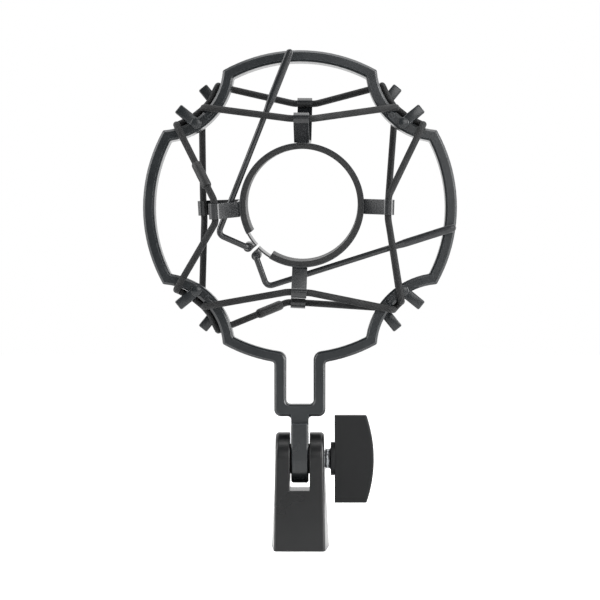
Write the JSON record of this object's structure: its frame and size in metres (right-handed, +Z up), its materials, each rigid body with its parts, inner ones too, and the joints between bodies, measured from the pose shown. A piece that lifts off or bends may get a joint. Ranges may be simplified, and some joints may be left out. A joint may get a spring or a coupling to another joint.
{
  "type": "microphone shock mount",
  "caption": "Elastic suspension for a studio microphone: sprung ring clip with wire levers in a notched round frame, on a tilting threaded stand adapter.",
  "frame": {"origin": "middle of the threaded socket's mouth, on the underside of the stand adapter", "axes": "+Z up the stand's axis, +X along the tilt axis towards the clamp knob, +Y to the rear"},
  "size_m": [0.111, 0.0487, 0.1767],
  "materials": {
    "moulded_nylon": "fine moulded grain, dark charcoal",
    "frame_plastic": "satin moulded, charcoal",
    "plated_steel": "zinc plated",
    "insert_brass": "machined, threaded",
    "black_steel": "black electro-coated sheet",
    "lever_steel": "black coated wire, semi-gloss",
    "liner_rubber": "smooth black rubber",
    "elastic_cord": "braided black elastic cord",
    "sleeve_plastic": "shrunk black sleeve",
    "friction_washer": "dull black fibre"
  },
  "bodies": {
    "base": {"stand_adapter": "moulded_nylon", "threaded_insert": "insert_brass", "clamp_nut": "plated_steel"},
    "frame": {"outer_frame": "frame_plastic", "washer_left": "friction_washer", "washer_right": "friction_washer", "elastic_front": "elastic_cord", "elastic_rear": "elastic_cord", "sleeve_front": "sleeve_plastic", "sleeve_rear": "sleeve_plastic"},
    "knob": {"knob": "moulded_nylon", "knob_collar": "moulded_nylon", "knob_spacer": "plated_steel", "clamp_screw": "plated_steel"},
    "clip": {"clip_band": "black_steel", "clip_liner": "liner_rubber", "strap_top": "black_steel", "strap_right": "black_steel", "strap_bottom": "black_steel", "strap_left": "black_steel", "strap_rivets": "plated_steel"},
    "lever_upper": {"lever_upper": "lever_steel"},
    "lever_lower": {"lever_lower": "lever_steel"}
  },
  "joints": [
    {"name": "tilt", "type": "hinge", "parent": "base", "child": "frame", "pos_m": [0, 0, 0.0321], "axis": [1, 0, 0], "range_deg": [-90, 90]},
    {"name": "knob_turn", "type": "hinge", "parent": "base", "child": "knob", "pos_m": [0.0123, 0, 0.0321], "axis": [1, 0, 0], "range_deg": [0, 360]},
    {"name": "clip_float", "type": "slide", "parent": "frame", "child": "clip", "axis": [0, 0.9981, 0.061], "range_m": [-0.006, 0.001], "stiffness_N_per_m": 500, "deforming": ["elastic_front", "elastic_rear", "sleeve_front", "sleeve_rear"]},
    {"name": "lever_upper_swing", "type": "hinge", "parent": "clip", "child": "lever_upper", "pos_m": [-0.01827, 0.00091, 0.10744], "axis": [0, -0.9981, -0.061], "range_deg": [0, 5]},
    {"name": "lever_lower_swing", "type": "hinge", "parent": "clip", "child": "lever_lower", "pos_m": [-0.01541, 0.0011, 0.10438], "axis": [0, 0.9981, 0.061], "range_deg": [0, 8]}
  ]
}
